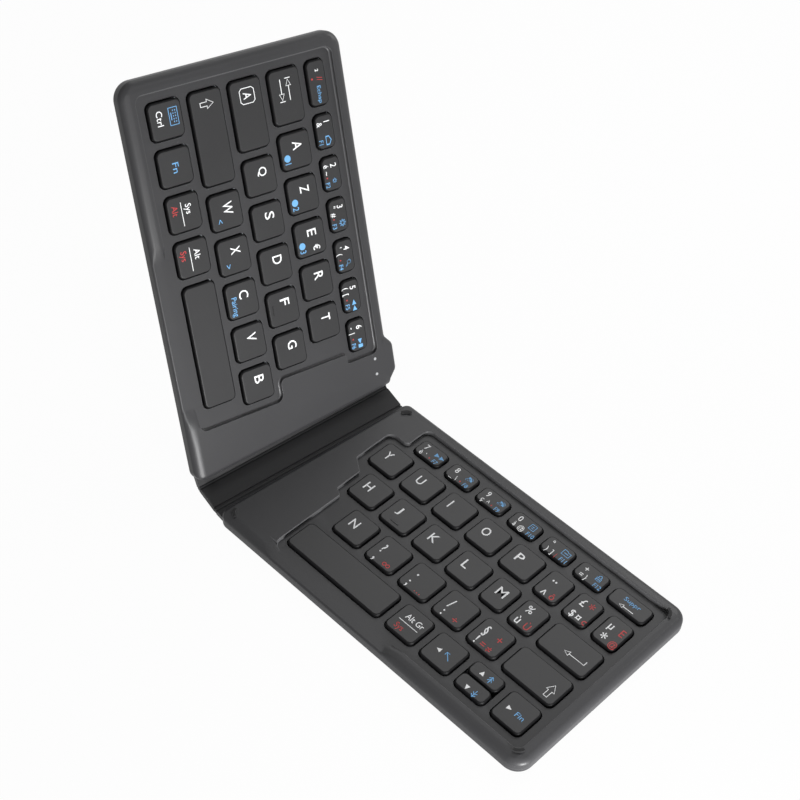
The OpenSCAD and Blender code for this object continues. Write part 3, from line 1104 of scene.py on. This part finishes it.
for at, sign in zip(RIGHT_UPPER, "POIUY"):
    key("right", "right_upper_caps", at, UPPER_ROW, letter(sign))
for at, marks in zip(
    RIGHT_NARROW,
    [
        [
            ("µ", WHITE, 2.4, 6.3, 3.4),
            ("*", WHITE, 2.8, 13.0, 4.4),
            ("E", RED, 7.2, 6.3, 3.2),
            ("@", RED, 7.0, 11.9, 2.6),
        ],
        [
            ("£", WHITE, 2.6, 5.9, 3.2),
            ("$", WHITE, 2.7, 11.9, 3.0),
            ("¤", WHITE, 5.4, 12.0, 3.0),
            ("*", RED, 5.8, 6.6, 4.2),
            ("c", RED, 8.4, 11.9, 3.0),
        ],
        [
            ("¨", WHITE, 3.0, 9.3, 5.4),
            ("^", WHITE, 3.2, 13.4, 3.6),
            ("ô", RED, 6.8, 11.9, 3.0),
        ],
    ],
):
    key("right", "right_upper_caps", at, UPPER_ROW, marks)
for at, sign in zip(RIGHT_HOME, "LKJH"):
    key("right", "right_home_caps", at, HOME_ROW, letter(sign))
for at, marks in zip(
    RIGHT_NARROW_HOME,
    [
        [
            ("%", WHITE, 2.4, 5.7, 3.2),
            ("ù", WHITE, 2.5, 11.9, 3.6),
            ("Ù", RED, 6.5, 11.9, 2.9),
        ],
        letter("M"),
    ],
):
    key("right", "right_home_caps", at, HOME_ROW, marks)
for at, marks in zip(
    RIGHT_LOWER,
    [
        [
            ("§", WHITE, 2.9, 7.0, 3.6),
            ("!", WHITE, 3.3, 12.2, 3.5),
            ("+", RED, 8.6, 7.2, 3.4),
            ("=", RED, 5.7, 12.2, 3.0),
            ("≠", RED, 8.6, 12.2, 3.0),
        ],
        [
            ("/", WHITE, 3.4, 8.0, 4.0),
            (":", WHITE, 3.9, 12.0, 3.6),
            ("÷", RED, 8.6, 12.2, 3.4),
        ],
        [
            (".", WHITE, 3.5, 6.0, 4.4),
            (";", WHITE, 3.3, 11.8, 4.0),
            ("…", RED, 7.6, 11.8, 2.6),
        ],
        [
            ("?", WHITE, 3.2, 8.0, 4.0),
            (",", WHITE, 3.6, 12.0, 4.4),
            ("∞", RED, 7.9, 12.2, 3.0),
        ],
        letter("N"),
    ],
):
    key("right", "right_lower_caps", at, LOWER_ROW, marks)
for at, marks in zip(
    NUMBERS,
    [
        number("+", "=", "}", "", "F12", "padlock", 2.7, 2.2),
        number("°", ")", "]", "|", "F11", "folder", 2.4, 3.2),
        number("0", "à", "@", "", "F10", "page", 2.6, 2.4),
        number("9", "ç", "^", "•", "F9", "🔊", 2.4, 3.2),
        number("8", "_", "\\", "•", "F8", "🔉", 2.4, 2.8),
        number("7", "è", "`", "•", "F7", "▶▶", 1.9, 4.2),
    ],
):
    key("right", "right_number_caps", at, NUMBER_ROW, marks)
key(
    "right",
    "backspace_key",
    end_well(ESCAPE_WIDTH),
    NUMBER_ROW,
    [("Suppr", BLUE, 5.0, 4.3, 2.3, 7.0), ("delete", WHITE, 5.2, 7.0, 1.5, 6.1)],
)
key(
    "right",
    "enter_key",
    end_well(ENTER_WIDTH),
    HOME_ROW,
    [("enter", WHITE, 9.5, 9.2, 2.7, 8.6)],
)
key(
    "right",
    "right_shift_key",
    end_well(RIGHT_SHIFT_WIDTH),
    LOWER_ROW,
    [("shift", WHITE, 16.7, 10.9, 5.6, 3.5)],
)
for place, body, marks in (
    (
        0,
        "arrow_right_key",
        [("▸", WHITE, 3.2, 7.9, 1.8, 1.8), ("Fin", BLUE, 7.0, 8.0, 2.0, 3.4)],
    ),
    (
        2,
        "arrow_left_key",
        [("◂", WHITE, 3.6, 7.9, 1.8, 1.8), ("home", BLUE, 7.4, 8.4, 2.6, 2.6)],
    ),
    (3, "alt_gr_key", stacked("Alt Gr", "Sys")),
    (
        1,
        "arrow_up_key",
        [("▴", WHITE, 4.2, 4.2, 1.8, 1.8), ("page_up", BLUE, 7.8, 5.0, 3.0, 1.8)],
    ),
    (
        1,
        "arrow_down_key",
        [("▾", WHITE, 4.2, 12.2, 1.8, 1.8), ("page_down", BLUE, 7.8, 12.9, 3.0, 1.8)],
    ),
):
    key("right", body, MODIFIERS[place], FRONT_ROW, marks)

# Signs drawn with strokes in a unit box: a stroke's points, and whether it closes
LOCK_FRAME = (
    (0.15, 0),
    (0.85, 0),
    (1, 0.15),
    (1, 0.85),
    (0.85, 1),
    (0.15, 1),
    (0, 0.85),
    (0, 0.15),
)
SHIFT_ARROW = (
    (0.5, 1),
    (1, 0.5),
    (0.72, 0.5),
    (0.72, 0),
    (0.28, 0),
    (0.28, 0.5),
    (0, 0.5),
)
SIGNS = {
    "enter": (
        (((0, 0.35), (0.24, 0.7), (0.24, 0)), True),
        (((0.24, 0.35), (1, 0.35), (1, 1)), False),
    ),
    "delete": (
        (((0, 0.5), (0.26, 1), (0.26, 0)), True),
        (((0.26, 0.5), (1, 0.5)), False),
    ),
    "tab_left": (
        (((0, 0), (0, 1)), False),
        (((0.06, 0.5), (0.34, 0.95), (0.34, 0.05)), True),
        (((0.34, 0.5), (1, 0.5)), False),
    ),
    "tab_right": (
        (((1, 0), (1, 1)), False),
        (((0.94, 0.5), (0.66, 0.95), (0.66, 0.05)), True),
        (((0, 0.5), (0.66, 0.5)), False),
    ),
    "lock_frame": ((LOCK_FRAME, True),),
    "shift": ((SHIFT_ARROW, True),),
    "home": (
        (((1, 0), (0, 1)), False),
        (((0, 0.5), (0, 1), (0.5, 1)), False),
    ),
    "keyboard": (
        (((0, 0), (0, 1), (1, 1), (1, 0)), True),
        (((0.28, 0.24), (0.72, 0.24)), False),
        *(
            (((0.14 + 0.16 * k, up), (0.22 + 0.16 * k, up)), False)
            for up in (0.5, 0.75)
            for k in range(5)
        ),
    ),
    "page": (
        (((0, 0), (0, 1), (1, 1), (1, 0)), True),
        (((0.28, 0.34), (0.72, 0.34)), False),
        (((0.28, 0.64), (0.72, 0.64)), False),
    ),
    "folder": (
        (((0, 0), (0, 1), (0.45, 1), (0.55, 0.82), (1, 0.82), (1, 0)), True),
        (((0.22, 0.45), (0.78, 0.45)), False),
    ),
    "padlock": (
        (((0.05, 0), (0.05, 0.52), (0.95, 0.52), (0.95, 0)), True),
        (((0.05, 0.26), (0.95, 0.26)), False),
        (((0.25, 0.52), (0.25, 0.85), (0.5, 1), (0.75, 0.85), (0.75, 0.52)), False),
    ),
    "page_up": (
        (((0.5, 0), (0.5, 1)), False),
        (((0, 0.65), (0.5, 1), (1, 0.65)), False),
        (((0, 0.3), (0.5, 0.65), (1, 0.3)), False),
    ),
    "page_down": (
        (((0.5, 0), (0.5, 1)), False),
        (((0, 0.35), (0.5, 0), (1, 0.35)), False),
        (((0, 0.7), (0.5, 0.35), (1, 0.7)), False),
    ),
}


def curve_bmesh(holder, curve):
    """The flat-shaded bmesh of a curve's object, which is removed with its curve."""
    mesh = bpy.data.meshes.new_from_object(holder)
    bpy.data.objects.remove(holder)
    if not mesh.vertices:
        raise RuntimeError(f"the curve {curve.name} draws nothing")
    bpy.data.curves.remove(curve)
    bm = bmesh.new()
    bm.from_mesh(mesh)
    bpy.data.meshes.remove(mesh)
    for face in bm.faces:
        face.smooth = False
    return bm


def sign_mesh(name, height, width, thick):
    """A sign drawn with thin strokes, as a flat closed mesh in millimetres."""
    curve = bpy.data.curves.new(name, "CURVE")
    curve.dimensions = "3D"
    curve.bevel_depth = STROKE / 2
    curve.bevel_resolution = 0
    curve.use_fill_caps = True
    for points, closed in SIGNS[name]:
        stroke = curve.splines.new("POLY")
        stroke.points.add(len(points) - 1)
        for point, (across, up) in zip(stroke.points, points):
            point.co = (across * width, up * height, 0, 1)
        stroke.use_cyclic_u = closed
    holder = bpy.data.objects.new(name, curve)
    bm = curve_bmesh(holder, curve)
    bmesh.ops.scale(bm, verts=bm.verts, vec=(1, 1, thick / STROKE))
    bmesh.ops.translate(bm, verts=bm.verts, vec=(0, 0, thick / 2))
    return bm


def words_mesh(words, height, width, thick, spread):
    """The words as a thin closed mesh, baseline at the origin, in millimetres."""
    curve = bpy.data.curves.new("words", "FONT")
    curve.body = words
    curve.size = 1 if width else height / CAPITAL
    curve.resolution_u = 3
    curve.offset = spread * curve.size
    holder = bpy.data.objects.new("words", curve)
    bm = curve_bmesh(holder, curve)
    low = Vector(min(v.co[i] for v in bm.verts) for i in range(3))
    high = Vector(max(v.co[i] for v in bm.verts) for i in range(3))
    if width:
        bmesh.ops.translate(bm, verts=bm.verts, vec=-low)
        bmesh.ops.scale(
            bm,
            verts=bm.verts,
            vec=(width / (high.x - low.x), height / (high.y - low.y), 1),
        )
    else:
        bmesh.ops.translate(bm, verts=bm.verts, vec=(-low.x, 0, 0))
        bmesh.ops.scale(bm, verts=bm.verts, vec=(CONDENSED, 1, 1))
    bmesh.ops.remove_doubles(bm, verts=bm.verts, dist=PRINT_WELD)
    bm.normal_update()
    for face in bm.faces:
        if face.normal.z < 0:
            face.normal_flip()
    made = bmesh.ops.extrude_face_region(bm, geom=list(bm.faces))
    raised = [g for g in made["geom"] if isinstance(g, bmesh.types.BMVert)]
    bmesh.ops.translate(bm, verts=raised, vec=(0, 0, thick))
    bmesh.ops.recalc_face_normals(bm, faces=bm.faces)
    return bm


class KEYBOARD_OT_legends(Operator):
    """Prints the letters, digits and signs on the caps"""

    bl_idname = "keyboard.legends"
    bl_label = "Legends"

    def execute(self, context):
        sizes, colours = context.scene.keyboard_sizes, context.scene.keyboard_colours
        inks = {
            ink: finish(
                ink.capitalize() + " print",
                getattr(colours, ink + "_print"),
                roughness=0.5,
                grain=(4, 0.1),
                tone=0.02,
            )
            for ink in (WHITE, BLUE, RED)
        }
        thick = SINK + sizes.print_rise / MM
        sheets = {}
        for side, body, well, row, marks in KEYS:
            left, rear = cap_corner(side, well, row)
            for words, ink, across, down, height, *rest in marks:
                width = rest[0] if rest else None
                if words in SIGNS:
                    mark = sign_mesh(words, height, width, thick)
                else:
                    mark = words_mesh(words, height, width, thick, INK_SPREAD[ink])
                mark.transform(
                    PLAN[side]
                    @ Matrix.Translation((left + across, rear - down, CAP_TOP - SINK))
                )
                sheet = sheets.setdefault((body, ink), bmesh.new())
                mesh = bpy.data.meshes.new("mark")
                mark.to_mesh(mesh)
                mark.free()
                sheet.from_mesh(mesh)
                bpy.data.meshes.remove(mesh)
        for (body, ink), sheet in sheets.items():
            name = f"{body}_{ink}_print"
            mesh = bpy.data.meshes.new(name)
            sheet.to_mesh(mesh)
            sheet.free()
            put(name, mesh, (inks[ink],), BODY_OF[body])
        return {"FINISHED"}


# ---- Stage ----

# Floor: the share that shows plain white, while the rest keeps the shadow, its reach in
# metres and its colour
FLOOR_GLOW = 0.97
FLOOR_REACH = 3
FLOOR_COLOUR = (0.8, 0.8, 0.8, 1)

# Strength of the even light from all round
WORLD_LIGHT = 0.1

# Lamps: name, place and aim in metres, diameter in metres, power
LAMPS = (
    ("Key", (0.37, -0.1, 0.045), (-0.08, 0, 0.04), 0.08, 3.2),
    ("Sheen", (-0.45, 0.5, 0.75), (0, 0, 0), 0.7, 2.8),
    ("Rear", (-0.05, 0.35, 0.25), (-0.08, 0, 0.03), 0.15, 0.4),
)

# Camera: sensor and lens, then in metres the nearest it sees and its place, and the
# ways it looks and stands
SENSOR = 36
LENS = 75.52
NEAREST = 0.01
CAMERA_PLACE = (0.25833, -0.26295, 0.47666)
CAMERA_LOOK = (-0.512709, 0.459251, -0.725409)
CAMERA_STAND = (-0.587388, 0.428597, 0.686499)


class KEYBOARD_OT_stage(Operator):
    """Sets the floor, the lamps, the world and the camera"""

    bl_idname = "keyboard.stage"
    bl_label = "Stage"

    def execute(self, context):
        scene = context.scene
        scene.view_settings.view_transform = "Standard"
        self.floor()
        self.world(scene)
        for lamp in LAMPS:
            self.lamp(*lamp)
        self.camera(scene)
        return {"FINISHED"}

    def seen(self, tree):
        """1 for what the camera sees straight, in gloss or through glass, else 0."""
        path = node(tree, "ShaderNodeLightPath")
        mirrored = maths(
            tree,
            "MAXIMUM",
            path.outputs["Is Glossy Ray"],
            path.outputs["Is Transmission Ray"],
        )
        return maths(tree, "MAXIMUM", path.outputs["Is Camera Ray"], mirrored)

    def floor(self):
        """A wide plain floor at the height of the table."""
        bm = bmesh.new()
        bmesh.ops.create_grid(bm, x_segments=1, y_segments=1, size=FLOOR_REACH)
        mesh = bpy.data.meshes.new("floor")
        bm.to_mesh(mesh)
        bm.free()
        floor = bpy.data.objects.new("floor", mesh)
        bpy.context.scene.collection.objects.link(floor)
        material = bpy.data.materials.new("Floor")
        material.use_nodes = True
        tree = material.node_tree
        shader = tree.nodes["Principled BSDF"]
        shader.inputs["Base Color"].default_value = FLOOR_COLOUR
        shader.inputs["Roughness"].default_value = 0.9
        shader.inputs["Specular IOR Level"].default_value = 0.1
        white = node(tree, "ShaderNodeEmission", {"Color": (1, 1, 1, 1)})
        glow = node(
            tree,
            "ShaderNodeMixShader",
            {
                0: maths(tree, "MULTIPLY", self.seen(tree), FLOOR_GLOW),
                1: shader.outputs[0],
                2: white.outputs[0],
            },
        )
        tree.links.new(
            glow.outputs[0], tree.nodes["Material Output"].inputs["Surface"]
        )
        mesh.materials.append(material)

    def world(self, scene):
        """Weak even light, seen as plain white."""
        world = bpy.data.worlds.new("Studio")
        world.use_nodes = True
        tree = world.node_tree
        plain = tree.nodes["Background"]
        plain.inputs["Color"].default_value = (1, 1, 1, 1)
        plain.inputs["Strength"].default_value = WORLD_LIGHT
        white = node(
            tree, "ShaderNodeBackground", {"Color": (1, 1, 1, 1), "Strength": 1.0}
        )
        mix = node(
            tree,
            "ShaderNodeMixShader",
            {0: self.seen(tree), 1: plain.outputs[0], 2: white.outputs[0]},
        )
        tree.links.new(mix.outputs[0], tree.nodes["World Output"].inputs["Surface"])
        scene.world = world

    def lamp(self, name, place, aim, size, power):
        """A round soft lamp."""
        light = bpy.data.lights.new(name, "AREA")
        light.shape = "DISK"
        light.size = size
        light.energy = power
        lamp = bpy.data.objects.new(name, light)
        bpy.context.scene.collection.objects.link(lamp)
        lamp.location = place
        lamp.rotation_mode = "QUATERNION"
        lamp.rotation_quaternion = (Vector(aim) - Vector(place)).to_track_quat(
            "-Z", "Y"
        )

    def camera(self, scene):
        """The camera that the scene is seen through."""
        data = bpy.data.cameras.new("Camera")
        data.sensor_width = SENSOR
        data.lens = LENS
        data.clip_start = NEAREST
        camera = bpy.data.objects.new("Camera", data)
        scene.collection.objects.link(camera)
        forward = Vector(CAMERA_LOOK).normalized()
        across = forward.cross(Vector(CAMERA_STAND)).normalized()
        turn = Matrix((across, across.cross(forward), -forward)).transposed()
        camera.matrix_world = Matrix.Translation(CAMERA_PLACE) @ turn.to_4x4()
        scene.camera = camera


# ---- Add-on ----

PIECES = (
    KEYBOARD_OT_cases,
    KEYBOARD_OT_caps,
    KEYBOARD_OT_fold,
    KEYBOARD_OT_rubber,
    KEYBOARD_OT_fittings,
    KEYBOARD_OT_legends,
    KEYBOARD_OT_stage,
)


class KEYBOARD_PT_panel(Panel):
    """Lists the keyboard's pieces and their values"""

    bl_idname = "KEYBOARD_PT_panel"
    bl_label = "Folding keyboard"
    bl_space_type = "VIEW_3D"
    bl_region_type = "UI"
    bl_category = "Folding keyboard"

    def draw(self, context):
        for values in (context.scene.keyboard_sizes, context.scene.keyboard_colours):
            box = self.layout.box()
            for name in values.__annotations__:
                box.prop(values, name)
        for piece in PIECES:
            self.layout.operator(piece.bl_idname)


CLASSES = (KeyboardColours, KeyboardSizes, *PIECES, KEYBOARD_PT_panel)


def register():
    for made in CLASSES:
        bpy.utils.register_class(made)
    bpy.types.Scene.keyboard_colours = PointerProperty(type=KeyboardColours)
    bpy.types.Scene.keyboard_sizes = PointerProperty(type=KeyboardSizes)


def unregister():
    del bpy.types.Scene.keyboard_sizes
    del bpy.types.Scene.keyboard_colours
    for made in reversed(CLASSES):
        bpy.utils.unregister_class(made)


def main():
    register()
    for piece in PIECES:
        family, name = piece.bl_idname.split(".")
        getattr(getattr(bpy.ops, family), name)()


if __name__ == "__main__":
    main()
